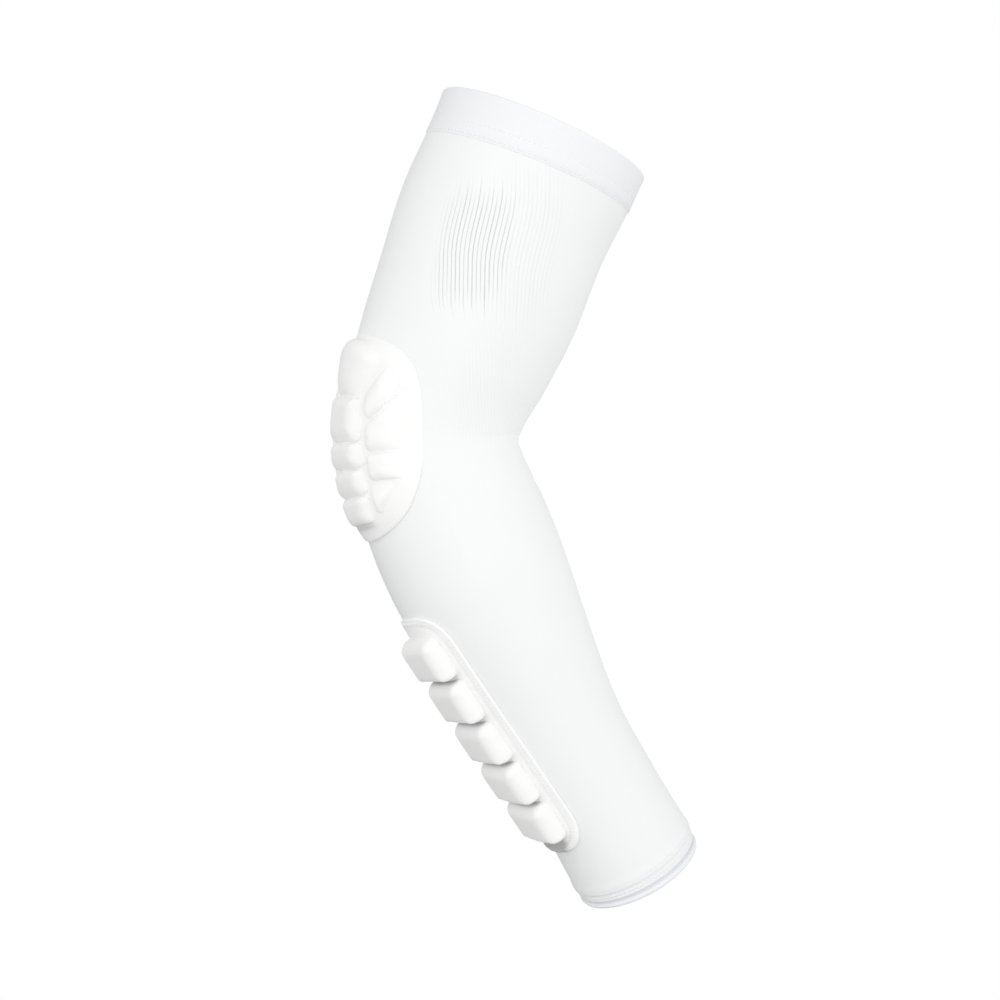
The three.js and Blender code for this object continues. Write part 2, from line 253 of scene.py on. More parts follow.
def tube_relief(along, angle, grooves):
    """Lift of the outer face: narrow grooves between the wales, a bell curve for each crease inside the bend,
    a flare up to the wrist hem, and sines where the knit lies slack, which die out at the hems."""
    degrees = np.degrees(angle) % 360
    bend = ease(degrees, *BEND_SIDES[0]) * (1 - ease(degrees, *BEND_SIDES[1]))
    below = along - ELBOW_AT
    creases = sum(depth * np.exp(-(((below - at) / half) ** 2)) for at, half, depth in BEND_CREASES)
    flare = WRIST_FLARE["height"] * ease(along, tube_foot - WRIST_FLARE["reach"], tube_foot)
    waves = sum(height * np.sin(along / length + turns * angle + start)
                for height, length, turns, start in SLACK_WAVES)
    slack = ease(along, tube_top, tube_top + SLACK_REACH) * ease(along, tube_foot, tube_foot - SLACK_REACH)
    return -RIB_DEPTH * grooves - bend * creases + flare + waves * slack


def math_node(tree, operation, *values):
    """A Math node; each input is a socket to link or a number."""
    node = tree.nodes.new("ShaderNodeMath")
    node.operation = operation
    for socket, value in zip(node.inputs, values):
        if isinstance(value, bpy.types.NodeSocket):
            tree.links.new(value, socket)
        else:
            socket.default_value = value
    return node.outputs[0]


def two_tints(tree, factor, light, shade):
    """A mix from a light tint to a darker one; each is a socket to link or a colour."""
    mix = tree.nodes.new("ShaderNodeMix")
    mix.data_type = "RGBA"
    tree.links.new(factor, mix.inputs["Factor"])
    for socket, tint in zip((mix.inputs[6], mix.inputs[7]), (light, shade)):
        if isinstance(tint, bpy.types.NodeSocket):
            tree.links.new(tint, socket)
        else:
            socket.default_value = (*tint, 1)
    return mix.outputs[2]


BLOTCH = {"Scale": 0.035, "Detail": 4.0}
FUZZ = {"Scale": 1.4, "Detail": 3.0}
HOLLOW_SHADE = 0.35
BLOTCH_SHADE = 0.45
FUZZ_SHADE = 0.2
FUZZ_ROUGH = 0.2


def cloth_noise(tree, cloth, settings):
    """A noise with its own settings, at a place in the cloth."""
    noise = tree.nodes.new("ShaderNodeTexNoise")
    for socket, value in settings.items():
        noise.inputs[socket].default_value = value
    tree.links.new(cloth, noise.inputs["Vector"])
    return noise.outputs["Fac"]


def stretch_knit_group():
    """Jersey seen close: wales side by side, each a column of V-shaped loops. Across a wale the height is the
    root of a triangle wave, along it a sine of the course, set back by the same triangle wave."""
    tree = bpy.data.node_groups.new("stretch_knit", "ShaderNodeTree")
    inputs = {"Cloth": "Vector", "Wale": "Float", "Course": "Float", "Light": "Color", "Shade": "Color",
              "Rough": "Float"}
    for name, kind in inputs.items():
        tree.interface.new_socket(name, in_out="INPUT", socket_type="NodeSocket" + kind)
    for name, kind in {"Colour": "Color", "Height": "Float", "Roughness": "Float"}.items():
        tree.interface.new_socket(name, in_out="OUTPUT", socket_type="NodeSocket" + kind)
    given = tree.nodes.new("NodeGroupInput")
    made = tree.nodes.new("NodeGroupOutput")
    apart = tree.nodes.new("ShaderNodeSeparateXYZ")
    tree.links.new(given.outputs["Cloth"], apart.inputs[0])
    wale = math_node(tree, "DIVIDE", apart.outputs["X"], given.outputs["Wale"])
    course = math_node(tree, "DIVIDE", apart.outputs["Y"], given.outputs["Course"])
    slope = math_node(tree, "PINGPONG", wale, 0.5)
    rib = math_node(tree, "POWER", math_node(tree, "MULTIPLY", slope, 2.0), 0.5)
    loop = math_node(tree, "MULTIPLY", math_node(tree, "ADD", course, slope), 2 * np.pi)
    bead = math_node(tree, "MULTIPLY_ADD", math_node(tree, "SINE", loop), 0.2, 0.8)
    height = math_node(tree, "MULTIPLY", rib, bead)
    tree.links.new(height, made.inputs["Height"])

    blotch = cloth_noise(tree, given.outputs["Cloth"], BLOTCH)
    fuzz = cloth_noise(tree, given.outputs["Cloth"], FUZZ)
    # Painted shade: the tint darkens in the hollows between the loops.
    painted_hollow_shade = math_node(tree, "MULTIPLY_ADD", height, -HOLLOW_SHADE, HOLLOW_SHADE)
    slow = math_node(tree, "MULTIPLY_ADD", blotch, BLOTCH_SHADE, painted_hollow_shade)
    shade = math_node(tree, "MULTIPLY_ADD", fuzz, FUZZ_SHADE, slow)
    colour = two_tints(tree, shade, given.outputs["Light"], given.outputs["Shade"])
    tree.links.new(colour, made.inputs["Colour"])
    rough = math_node(tree, "MULTIPLY_ADD", fuzz, FUZZ_ROUGH, given.outputs["Rough"])
    tree.links.new(rough, made.inputs["Roughness"])
    return tree


STRETCH_KNIT = stretch_knit_group()


def cloth_material(name):
    """A new material, its nodes, and the place in the cloth that its pattern follows."""
    material = bpy.data.materials.new(name)
    material.use_nodes = True
    cloth = material.node_tree.nodes.new("ShaderNodeUVMap")
    cloth.uv_map = "cloth"
    return material, material.node_tree, cloth.outputs["UV"]


def knit_material(name, wale, course, light, shade, deep, rough, relief, sheen):
    """A knitted finish: the stretch-knit group with its own wale and course in millimetres, two tints, a dark
    one for painted shade by the pieces' attribute, and the relief in millimetres that its loops stand up by."""
    material, tree, cloth = cloth_material(name)
    knit = tree.nodes.new("ShaderNodeGroup")
    knit.node_tree = STRETCH_KNIT
    tree.links.new(cloth, knit.inputs["Cloth"])
    own = {"Wale": wale, "Course": course, "Light": (*light, 1), "Shade": (*shade, 1), "Rough": rough}
    for socket, value in own.items():
        knit.inputs[socket].default_value = value
    bump = tree.nodes.new("ShaderNodeBump")
    bump.inputs["Strength"].default_value = 0.6
    bump.inputs["Distance"].default_value = relief * MM
    tree.links.new(knit.outputs["Height"], bump.inputs["Height"])
    shader = tree.nodes["Principled BSDF"]
    shader.inputs["Sheen Weight"].default_value = sheen
    shader.inputs["Sheen Roughness"].default_value = 0.5
    shader.inputs["Specular IOR Level"].default_value = 0.3
    # Painted shade: the base colour goes to the deep tint by the share in the pieces' own attribute.
    pressed = tree.nodes.new("ShaderNodeAttribute")
    pressed.attribute_name = "pressed"
    colour = two_tints(tree, pressed.outputs["Fac"], knit.outputs["Colour"], deep)
    tree.links.new(colour, shader.inputs["Base Color"])
    tree.links.new(knit.outputs["Roughness"], shader.inputs["Roughness"])
    tree.links.new(bump.outputs["Normal"], shader.inputs["Normal"])
    return material


tube_top = UPPER_HEM_HEIGHT + SEAM_GAP
tube_foot = SLEEVE_LENGTH - WRIST_HEM_HEIGHT - SEAM_GAP
ribbed_turns = np.arange(RIBBED_FROM, RIBBED_TO, RIB_PITCH / RIB_RADIUS / COLUMNS_PER_RIB)
plain_turns = np.linspace(ribbed_turns[-1], RIBBED_FROM + 2 * np.pi, PLAIN_COLUMNS + 2)[1:-1]
tube_turns = np.concatenate([ribbed_turns, plain_turns])
even_along = np.linspace(tube_top + EDGE_ROW, tube_foot - EDGE_ROW, OUTSIDE_ROWS - 2)
outside_along = np.concatenate([[tube_top], even_along, [tube_foot]])
inside_along = np.linspace(tube_foot, tube_top, INSIDE_ROWS)
tube_along = np.concatenate([outside_along, inside_along])
grid_along, grid_turn = np.meshgrid(tube_along, tube_turns, indexing="ij")
grid_angle = grid_turn + wale_turn(grid_along)
tube_lift = np.full_like(grid_along, -KNIT_WALL)
tube_grooves = rib_grooves(grid_along, grid_turn, grid_angle)
tube_grooves[OUTSIDE_ROWS:] = 0
outside = slice(0, OUTSIDE_ROWS)
tube_lift[outside] = tube_relief(grid_along[outside], grid_angle[outside], tube_grooves[outside])
tube_points = lifted(grid_along, grid_angle, tube_lift)
tube_faces = ring_faces(len(tube_along), len(tube_turns))
cloth_across = np.append(tube_turns, tube_turns[0] + 2 * np.pi) * RIB_RADIUS
cloth_down = np.append(tube_along, tube_along[0])
white_jersey = knit_material("white_jersey", wale=1.1, course=0.9, light=(0.905, 0.915, 0.91),
                             shade=(0.855, 0.87, 0.865), deep=(0.55, 0.57, 0.58), rough=0.62, relief=0.05,
                             sheen=0.15)
tube_uv = ring_uv(cloth_across, cloth_down)
# The rib grooves also set the painted shade: the jersey goes towards its deep tint in them.
sleeve_tube = new_piece("sleeve_tube_knit", tube_points, tube_faces.tolist(), tube_uv, white_jersey, "knit",
                        ["sleeve_tube"], tube_grooves)

# Upper hem
# The edge round the upper arm: the knit folded in on itself over a narrow elastic, and held down by two rows
# of machine stitches that press a dotted line into it. The strip between the rows stands up a little.
HEM_CLOTH = 2.4
HEM_PROUD = 0.5
# Lifts of a hem's outside over which the painted shade in its groove sets in, from none to all.
SHADED_LIFTS = (0.0, -1.4)
SEAM_REACH = 0.25
FOLD_ROWS = 9
HEM_INSIDE_ROWS = 8
COLUMNS_PER_STITCH = 5
STITCH_DENT = 0.55
UPPER_STITCHES = 130
UPPER_ROWS = 46
UPPER_PROFILE = np.array([
    # distance from the rim, lift of the outer face
    (1.2, 0.5),
    (6.0, 0.3),
    (14.4, 0.25),
    (15.2, 0.2),
    (16.4, 0.35),
    (19.4, 0.45),
    (20.6, 0.3),
    (UPPER_HEM_HEIGHT + SEAM_REACH, 0.0),
])
UPPER_STITCH_ROWS = np.array([
    # distance from the rim, depth of the pressed dots
    (15.2, 0.06),
    (20.6, 0.15),
])


def eased_profile(table, distance):
    """Heights between the rows of a table, each reached by a soft step from the row before it."""
    row = np.clip(np.searchsorted(table[:, 0], distance) - 1, 0, len(table) - 2)
    start, end = table[row], table[row + 1]
    return start[..., 1] + (end[..., 1] - start[..., 1]) * ease(distance, start[..., 0], end[..., 0])


def hem_outline(rows, profile):
    """Distances from the rim and lifts round a hem's wall, as a closed line: half a circle round the fold at
    the rim, the profile down the outside, and a plain inside. Also the rows that are the outside."""
    radius = HEM_CLOTH / 2
    foot = profile[-1, 0]
    round_fold = np.linspace(-np.pi / 2, np.pi / 2, FOLD_ROWS)[1:-1]
    fold_lift = HEM_PROUD - radius + radius * np.sin(round_fold)
    fold = np.stack([radius * (1 - np.cos(round_fold)), fold_lift], axis=-1)
    down = np.append(np.linspace(radius, foot - EDGE_ROW, rows - 1), foot)
    outer = np.stack([down, eased_profile(profile, down)], axis=-1)
    up = np.linspace(foot, radius, HEM_INSIDE_ROWS)
    inner = np.stack([up, np.full_like(up, HEM_PROUD - HEM_CLOTH)], axis=-1)
    return np.concatenate([fold, outer, inner]), np.arange(len(fold), len(fold) + rows)


def hem_band(name, rim, inward, rows, profile, stitches, stitch_rows, material, node):
    """A hem as a band round the arm. Along each row of stitches the outside is pressed in by a bell curve
    across the row times a cosine wave along it, one wave for each stitch."""
    outline, outside_rows = hem_outline(rows, profile)
    if inward < 0:
        outline = outline[::-1]
        outside_rows = len(outline) - 1 - outside_rows
    columns = stitches * COLUMNS_PER_STITCH
    angle = np.arange(columns) * 2 * np.pi / columns
    distance = np.broadcast_to(outline[:, 0, None], (len(outline), columns))
    lift = np.repeat(outline[:, 1, None], columns, axis=1)
    dots = 0.5 + 0.5 * np.cos(stitches * angle)
    for row_at, depth in stitch_rows:
        press = depth * np.exp(-(((distance[outside_rows] - row_at) / STITCH_DENT) ** 2))
        lift[outside_rows] -= press * dots
    # Painted shade: where the outside dips into a groove it goes to the deep tint.
    pressed = np.zeros_like(lift)
    pressed[outside_rows] = ease(lift[outside_rows], *SHADED_LIFTS)
    points = lifted(rim + inward * distance, angle, lift)
    across = np.arange(columns + 1) * 2 * np.pi / columns * RIB_RADIUS
    strides = np.linalg.norm(np.diff(outline, axis=0, append=outline[:1]), axis=1)
    run = np.append(0, np.cumsum(strides))
    return new_piece(name, points, ring_faces(len(outline), columns).tolist(), ring_uv(across, run),
                     material, "hem_knit", [node], pressed)


THREAD_RADIUS = 0.2
THREAD_SIDES = 6
THREAD_POINTS = 6
THREAD_TIP = 0.45
THREAD_WIND = 6
STITCH_SINK = 0.16
STITCH_HUMP = 0.2
STITCH_REACH = 0.44


def thread_mesh(start, end, out, hump):
    """Many short threads at once. Each follows a line from start to end, raised outwards by its hump times
    half a sine wave, as a six-sided rod that thins where it goes into the cloth at either end."""
    share = np.linspace(0, 1, THREAD_POINTS)[None, :, None]
    wave = np.sin(np.pi * share)
    line = start[:, None] + share * (end - start)[:, None] + wave * (hump[:, None] * out)[:, None]
    side = unit(np.cross(unit(end - start), out))
    turn = np.arange(THREAD_SIDES) * 2 * np.pi / THREAD_SIDES
    spoke = np.cos(turn)[:, None] * side[:, None] + np.sin(turn)[:, None] * out[:, None]
    radius = THREAD_RADIUS * (THREAD_TIP + (1 - THREAD_TIP) * np.sqrt(wave.clip(0, 1)))
    points = line[:, :, None] + radius[..., None] * spoke[:, None]
    first = (np.arange(len(start)) * THREAD_POINTS * THREAD_SIDES)[:, None, None]
    ring, spot = np.meshgrid(np.arange(THREAD_POINTS - 1), np.arange(THREAD_SIDES), indexing="ij")
    beside = (spot + 1) % THREAD_SIDES
    corners = [(ring, spot), (ring, beside), (ring + 1, beside), (ring + 1, spot)]
    sides = np.stack([first + r * THREAD_SIDES + c for r, c in corners], axis=-1).reshape(-1, 4)
    loop = first[:, :, 0] + np.arange(THREAD_SIDES)
    tail = loop + (THREAD_POINTS - 1) * THREAD_SIDES
    faces = sides.tolist() + loop[:, ::-1].tolist() + tail.tolist()
    along = np.broadcast_to(share[..., None] * THREAD_WIND, points.shape[:3] + (1,))
    around = np.broadcast_to(turn[:, None], points.shape[:3] + (1,))
    place = np.concatenate([around, along], axis=-1).reshape(-1, 2)
    corner_uv = np.concatenate([place[sides.ravel()], place[loop[:, ::-1].ravel()], place[tail.ravel()]])
    return points.reshape(-1, 3), faces, corner_uv


def hem_stitches(name, rim, inward, stitches, stitch_rows, profile, material):
    """Rows of threads round a hem, each from one pressed dot to the next."""
    step = 2 * np.pi / stitches
    middle = (np.arange(stitches) + 0.5) * step
    row_at, angle = (grid.ravel() for grid in np.meshgrid(stitch_rows[:, 0], middle, indexing="ij"))
    along = rim + inward * row_at
    level = eased_profile(profile, row_at) - STITCH_SINK
    start = lifted(along, angle - STITCH_REACH * step, level)
    end = lifted(along, angle + STITCH_REACH * step, level)
    out = lifted(along, angle, level + 1) - lifted(along, angle, level)
    threads = thread_mesh(start, end, out, np.full_like(along, STITCH_HUMP))
    return new_piece(name, *threads, material, "hem_knit")


def thread_material(name, light, shade):
    """Spun white thread: two tints in bands that wind round it, a sine of the turn and the way along."""
    material, tree, cloth = cloth_material(name)
    apart = tree.nodes.new("ShaderNodeSeparateXYZ")
    tree.links.new(cloth, apart.inputs[0])
    wind = math_node(tree, "MULTIPLY_ADD", apart.outputs["Y"], 2.0, apart.outputs["X"])
    band = math_node(tree, "MULTIPLY_ADD", math_node(tree, "SINE", wind), 0.5, 0.5)
    shader = tree.nodes["Principled BSDF"]
    tree.links.new(two_tints(tree, band, light, shade), shader.inputs["Base Color"])
    shader.inputs["Roughness"].default_value = 0.55
    shader.inputs["Sheen Weight"].default_value = 0.2
    return material


hem_jersey = knit_material("hem_jersey", wale=1.0, course=0.8, light=(0.885, 0.893, 0.9),
                           shade=(0.83, 0.84, 0.852), deep=(0.68, 0.7, 0.745), rough=0.6, relief=0.06,
                           sheen=0.15)
white_thread = thread_material("white_thread", light=(0.92, 0.92, 0.92), shade=(0.84, 0.845, 0.85))
upper_hem = hem_band("upper_hem_band", 0.0, 1, UPPER_ROWS, UPPER_PROFILE, UPPER_STITCHES, UPPER_STITCH_ROWS,
                     hem_jersey, "upper_hem")
upper_stitches = hem_stitches("upper_hem_stitches", 0.0, 1, UPPER_STITCHES, UPPER_STITCH_ROWS, UPPER_PROFILE,
                              white_thread)

# Wrist hem
# The edge round the wrist: folded like the upper one over a thicker elastic, which rolls the rim outwards.
# A deep groove runs above the roll, then two rows of stitches, and a raised line where the hem ends.
WRIST_STITCHES = 84
WRIST_ROWS = 52
WRIST_PROFILE = np.array([
    # distance from the rim, lift of the outer face
    (1.0, 0.5),
    (1.8, 0.7),
    (2.6, 0.4),
    (3.4, -1.0),
    (4.1, -1.0),
    (5.2, 0.05),
    (6.3, -0.1),
    (7.2, 0.2),
    (8.2, 0.0),
    (10.2, 0.6),
    (WRIST_HEM_HEIGHT + SEAM_REACH, WRIST_FLARE["height"]),
])
WRIST_STITCH_ROWS = np.array([
    # distance from the rim, depth of the pressed dots
    (6.3, 0.12),
    (8.2, 0.12),
])
wrist_hem = hem_band("wrist_hem_band", SLEEVE_LENGTH, -1, WRIST_ROWS, WRIST_PROFILE, WRIST_STITCHES,
                     WRIST_STITCH_ROWS, hem_jersey, "wrist_hem")
wrist_stitches = hem_stitches("wrist_hem_stitches", SLEEVE_LENGTH, -1, WRIST_STITCHES, WRIST_STITCH_ROWS,
                              WRIST_PROFILE, white_thread)

# Elbow pad base
# A low dome of foam between two layers of knit, cut egg-shaped and sewn on over the point of the elbow. Its
# edge thins out above, stands up below, and is drawn in to a dimple where two of the pad's grooves run out.
ELBOW_PAD = {"down": 0.0, "turn": np.radians(22)}
EGG = {"half": 47.5, "above": 52.5, "below": 52.0, "full_above": 0.88, "full_below": 0.64}
EGG_STEPS = 60
ELBOW_OUTLINE_POINTS = 200
BASE_FOOT = 0.05
THIN_EDGE = 0.12
THIN_REACH = 9.0
THIN_ABOVE = 8.0
FULL_BELOW = 32.0
# painted shadow under the foot of the lowest centre block
FOOT_SHADOW = {"q": 44.2, "half_width": 12.5, "half_height": 1.8, "strength": 0.75}
FRONT_DIMPLES = np.array([
    # p round the arm, q down it, depth, radius
    (39.5, -26.5, 0.7, 3.0),
    (33.0, -24.0, 1.0, 5.0),
    (39.5, 18.5, 0.8, 2.8),
])
DIMPLES = np.concatenate([FRONT_DIMPLES, FRONT_DIMPLES * (-1, 1, 1, 1)])
DOMED_EDGE = np.array([
    # distance in from the edge, lift
    (0.0, BASE_FOOT),
    (0.0, 0.6),
    (0.2, 1.05),
    (0.6, 1.4),
    (1.2, 1.65),
    (2.2, 1.95),
    (3.6, 2.4),
    (5.2, 2.8),
    (7.0, 3.15),
    (9.0, 3.35),
    (11.5, 3.45),
])
BASE_SHARES = np.linspace(1, 0, 26)[1:-1]


def face_run(angle):
    """Distances down the face at one angle, from the elbow, at each millimetre along the arm."""
    steps = np.arange(int(SLEEVE_LENGTH) + 1.0)
    strides = np.linalg.norm(np.diff(arm_face(steps, np.full_like(steps, angle)), axis=0), axis=1)
    run = np.concatenate([[0.0], np.cumsum(strides)])
    return steps, run - np.interp(ELBOW_AT, steps, run)


def on_pad(pad, place, lift):
    """Points of a pad from places over the tube's face: q runs down the arm from the pad's middle, and p
    round it towards the front, as an angle of p over the arm's mean radius there."""
    steps, run = face_run(pad["turn"])
    along = np.interp(pad["down"] + place[..., 1], run, steps)
    radius = (arm_column("width", along) + arm_column("depth", along)) / 4
    return lifted(along, pad["turn"] + place[..., 0] / radius, lift)


def spread_evenly(line, count):
    """A closed line's points again, at equal distances along it."""
    closed = np.concatenate([line, line[:1]])
    run = np.concatenate([[0.0], np.cumsum(np.linalg.norm(np.diff(closed, axis=0), axis=1))])
    at = np.linspace(0, run[-1], count, endpoint=False)
    return np.stack([np.interp(at, run, closed[:, axis]) for axis in (0, 1)], axis=-1)


def egg_outline(half, above, below, full_above, full_below):
    """An egg of four cubic curves, one to a quarter. A quarter's two handles run on from its ends by the
    fullness of that half times the half size."""
    low = half * full_below
    high = half * full_above
    quarters = np.array([
        [(half, 0), (half, below * full_below), (low, below), (0, below)],
        [(0, below), (-low, below), (-half, below * full_below), (-half, 0)],
        [(-half, 0), (-half, -above * full_above), (-high, -above), (0, -above)],
        [(0, -above), (high, -above), (half, -above * full_above), (half, 0)],
    ])
    t = np.linspace(0, 1, EGG_STEPS, endpoint=False)
    weights = np.stack([(1 - t) ** 3, 3 * t * (1 - t) ** 2, 3 * t * t * (1 - t), t ** 3], axis=-1)
    return spread_evenly((weights @ quarters).reshape(-1, 2), ELBOW_OUTLINE_POINTS)


def outward(outline):
    """Directions out of a closed outline, square to the line between each point's two neighbours."""
    way = unit(np.roll(outline, -1, axis=0) - np.roll(outline, 1, axis=0))
    return np.stack([way[:, 1], -way[:, 0]], axis=-1)


def capped_faces(rings, count):
    """Faces of rings of points with a middle point before the first ring and one after the last: four-sided
    faces between the rings, and a fan of triangles at both ends."""
    ring, spot = np.meshgrid(np.arange(rings - 1), np.arange(count), indexing="ij")
    beside = (spot + 1) % count
    corners = [(ring, spot), (ring + 1, spot), (ring + 1, beside), (ring, beside)]
    sides = np.stack([1 + r * count + c for r, c in corners], axis=-1).reshape(-1, 4)
    here = np.arange(count)
    there = (here + 1) % count
    start = np.stack([np.zeros(count, int), 1 + here, 1 + there], axis=-1)
    last = 1 + (rings - 1) * count
    finish = np.stack([np.full(count, last + count), last + there, last + here], axis=-1)
    return sides, np.concatenate([start, finish])


def dimples(places):
    """How far the dimples draw the pad in at places on it: the sum of a bell curve for each."""
    away = np.linalg.norm(places[..., None, :] - DIMPLES[:, :2], axis=-1)
    return np.sum(DIMPLES[:, 2] * np.exp(-((away / DIMPLES[:, 3]) ** 2)), axis=-1)


def foot_shadow(places):
    """Painted shadow at the foot of the lowest centre block, on the flange and the blocks: a bell curve down
    the pad, times one to the fourth power across it."""
    across = places[..., 0] / FOOT_SHADOW["half_width"]
    down = (places[..., 1] - FOOT_SHADOW["q"]) / FOOT_SHADOW["half_height"]
    return FOOT_SHADOW["strength"] * np.exp(-across ** 4 - down ** 2)


def elbow_dome(places):
    """Lift of the elbow base's top: the edge's table, at the distance in from the nearest point of the
    outline, less the dimples. Next to the outline it is lowered to a share, which is small above and grows to
    the whole below."""
    distances = np.linalg.norm(places[..., None, :] - elbow_outline, axis=-1)
    nearest_q = elbow_outline[distances.argmin(axis=-1), 1]
    away = distances.min(axis=-1)
    missing = (1 - THIN_EDGE) * (1 - ease(nearest_q, THIN_ABOVE, FULL_BELOW))
    dome = np.interp(away, *DOMED_EDGE[1:].T) * (1 - missing * (1 - ease(away, 0, THIN_REACH)))
    return dome - dimples(places)


def base_rings(outline, edge):
    """Rings of a pad's base: out along the underside, in from the edge by the distances of the edge's table,
    and then by shares to the middle. Also how many of them are the underside."""
    out = outward(outline)
    middle = outline.mean(axis=0)
    under = [middle + share * (outline - middle) for share in BASE_SHARES[::-4]]
    rim = [outline - distance * out for distance, _ in edge]
    over = [middle + share * (rim[-1] - middle) for share in BASE_SHARES]
    lift = [BASE_FOOT] * len(under) + [level for _, level in edge] + [edge[-1][1]] * len(over)
    places = np.array(under + rim + over)
    return places, np.repeat(np.array(lift)[:, None], len(outline), axis=1), len(under) + 1


def pad_base(name, pad, places, lifts, pressed, material, node):
    """A pad's base as one closed piece over the tube."""
    middle = places[0].mean(axis=0)
    flat = np.concatenate([[middle], places.reshape(-1, 2), [middle]])
    lift = np.concatenate([[lifts[0].mean()], lifts.ravel(), [lifts[-1].mean()]])
    sides, ends = capped_faces(*lifts.shape)
    corner_uv = np.concatenate([flat[sides.ravel()], flat[ends.ravel()]])
    piece = new_piece(name, on_pad(pad, flat, lift), sides.tolist() + ends.tolist(), corner_uv, material,
                      "pad_skin", [node], np.concatenate([[0], pressed.ravel(), [0]]))


moulded_knit = knit_material("moulded_knit", wale=0.9, course=0.75, light=(0.95, 0.95, 0.945),
                             shade=(0.91, 0.91, 0.905), deep=(0.5, 0.5, 0.5), rough=0.55, relief=0.03,
                             sheen=0.1)
elbow_outline = egg_outline(**EGG)
elbow_places, elbow_lifts, elbow_top = base_rings(elbow_outline, DOMED_EDGE)
elbow_lifts[elbow_top:] = elbow_dome(elbow_places[elbow_top:])
pad_base("elbow_pad_flange", ELBOW_PAD, elbow_places, elbow_lifts, foot_shadow(elbow_places), moulded_knit,
         "elbow_pad_base")

# Elbow pad blocks
# Foam blocks under one moulded knit skin: a cap above the elbow, a column of four over its point and four on
# either side. They bulge between the pressed grooves, and the outer ones run out softly into the flange.
BLOCK_SINK = 0.1
BLOCK_POINTS = 72
BLOCK_SPREAD = 0.45
BLOCK_RINGS = 20
RING_CROWDING = 1.6
RIM_ROUND = 0.8
CORNER_STEPS = 9
UNDER_SHARES = np.array((0.4, 0.75, 0.97))
HARD = 2.0  # the forms of an edge are the power of its round, and none for a soft step
ROUNDED = 1.6
SLOPED = 1.4
SOFT = 0.0
FLAT_REACH = 12.0
CENTRE_FLAT = 0.0132  # lift for each square millimetre from the pad's middle, which makes a face flat
CENTRE_BLOCKS = {
    # name: lift of its top, rounding of corners, shoulder and form of the top edge, then rows down the side
    # of q, half width, and the shoulder and form of the edge that follows
    "cap": (6.1, 4, 9, HARD, [(-49.5, 18, 10, SOFT), (-43, 27.5, 10, SOFT), (-22, 15.5, 8, HARD)]),
    "centre_1": (5.7, 4, 3, HARD, [(-20, 16.5, 7, SLOPED), (1, 17, 7, HARD)]),
    "centre_2": (5.7, 3.5, 3, HARD, [(2.5, 18, 8, SLOPED), (14.5, 17.5, 6, HARD)]),
    "centre_3": (5.7, 3.5, 3, HARD, [(16, 16.5, 8, SLOPED), (28, 16, 6, HARD)]),
    "centre_4": (5.9, 3.5, 3, HARD, [(29.5, 16, 8, SLOPED), (42.5, 13.5, 5.5, HARD)]),
}
SIDE_TOP = 6.9
SIDE_ROUNDING = 3.0
SIDE_BLOCKS = (
    # p and q of its corners, then the shoulder and form of each edge: top, outer, foot and inner
    ([(18, -22.5), (30.5, -41.5), (38, -27), (20.5, -9.5)], [(7, SLOPED), (11, SOFT), (6, HARD), (3, HARD)]),
    ([(20.5, -6.5), (39, -24.5), (39.5, 6.5), (20.5, 6.5)], [(4, HARD), (12, SOFT), (6, HARD), (3, HARD)]),
    ([(20.5, 8.5), (38.5, 8.5), (37, 23.5), (20, 22)], [(4, HARD), (10, SOFT), (5, HARD), (3, HARD)]),
    ([(18.5, 24.5), (34, 25.5), (29.5, 30.5), (19, 40)], [(8, SOFT), (4, SOFT), (4, HARD), (3, HARD)]),
)


def rounded_outline(corners, rounding, count):
    """A closed outline through corners, each cut by a square-law curve that starts the rounding before it."""
    corner = np.array(corners, float)
    before = unit(np.roll(corner, 1, axis=0) - corner)
    after = unit(np.roll(corner, -1, axis=0) - corner)
    t = np.linspace(0, 1, CORNER_STEPS)[:, None, None]
    into = corner + rounding * before
    away = corner + rounding * after
    curve = (1 - t) ** 2 * into + 2 * t * (1 - t) * corner + t * t * away
    return spread_evenly(curve.transpose(1, 0, 2).reshape(-1, 2), count)


def edge_round(t, power):
    """The height of a rounded edge at a share of its shoulder: one less the power of what is left, to the
    same root. A power of 2 is a quarter circle, and near 1 it is a slope with narrow rounds at both ends."""
    left = 1 - np.clip(t, 0, 1)
    return (1 - left ** power) ** (1 / power)


def block_form(corners, rounding, edges, top, flat, seat):
    """Places, lifts and heights over the seat of a moulded block in rings, from the middle of its underside
    out to its edge and over its top. From its seat it stands up to its top by the product of a rise for each
    edge, complete at the shoulder's width, and of a fine round along its rim. A rise is the edge's round, or
    for a soft edge a soft step. The top is higher by the flat times the square of p, so that its face doesn't
    follow the round arm."""
    corner = np.array(corners, float)
    way = unit(np.roll(corner, -1, axis=0) - corner)
    out = np.stack([way[:, 1], -way[:, 0]], axis=-1)
    outline = rounded_outline(corner, rounding, BLOCK_POINTS)
    outline = outline + BLOCK_SPREAD * outward(outline)
    middle = outline.mean(axis=0)
    top_shares = 1 - np.linspace(0, 1, BLOCK_RINGS, endpoint=False) ** RING_CROWDING
    shares = np.concatenate([UNDER_SHARES, top_shares])[:, None]
    places = middle + shares[..., None] * (outline - middle)
    inside = BLOCK_SPREAD - np.sum((places[:, :, None] - corner) * out, axis=-1)
    rise = edge_round((1 - shares) * np.linalg.norm(outline - middle, axis=1) / RIM_ROUND, HARD)
    for edge, (shoulder, form) in enumerate(edges):
        depth = inside[..., edge]
        rise = rise * (ease(depth, 0, shoulder) if form == SOFT else edge_round(depth / shoulder, form))
    rise[:len(UNDER_SHARES)] = 0
    level = seat(places) - BLOCK_SINK
    raised = top + flat * np.minimum(np.abs(places[..., 0]), FLAT_REACH) ** 2
    height = (raised - level) * rise
    return places, level + height, height


SWELL_SCALE = 20 * MM
SWELL_FRAMES = 20
SWELL_PRESSURE = 4.0
SWELL_LIMIT = 0.6
FREE_HEIGHTS = (0.3, 2.2)


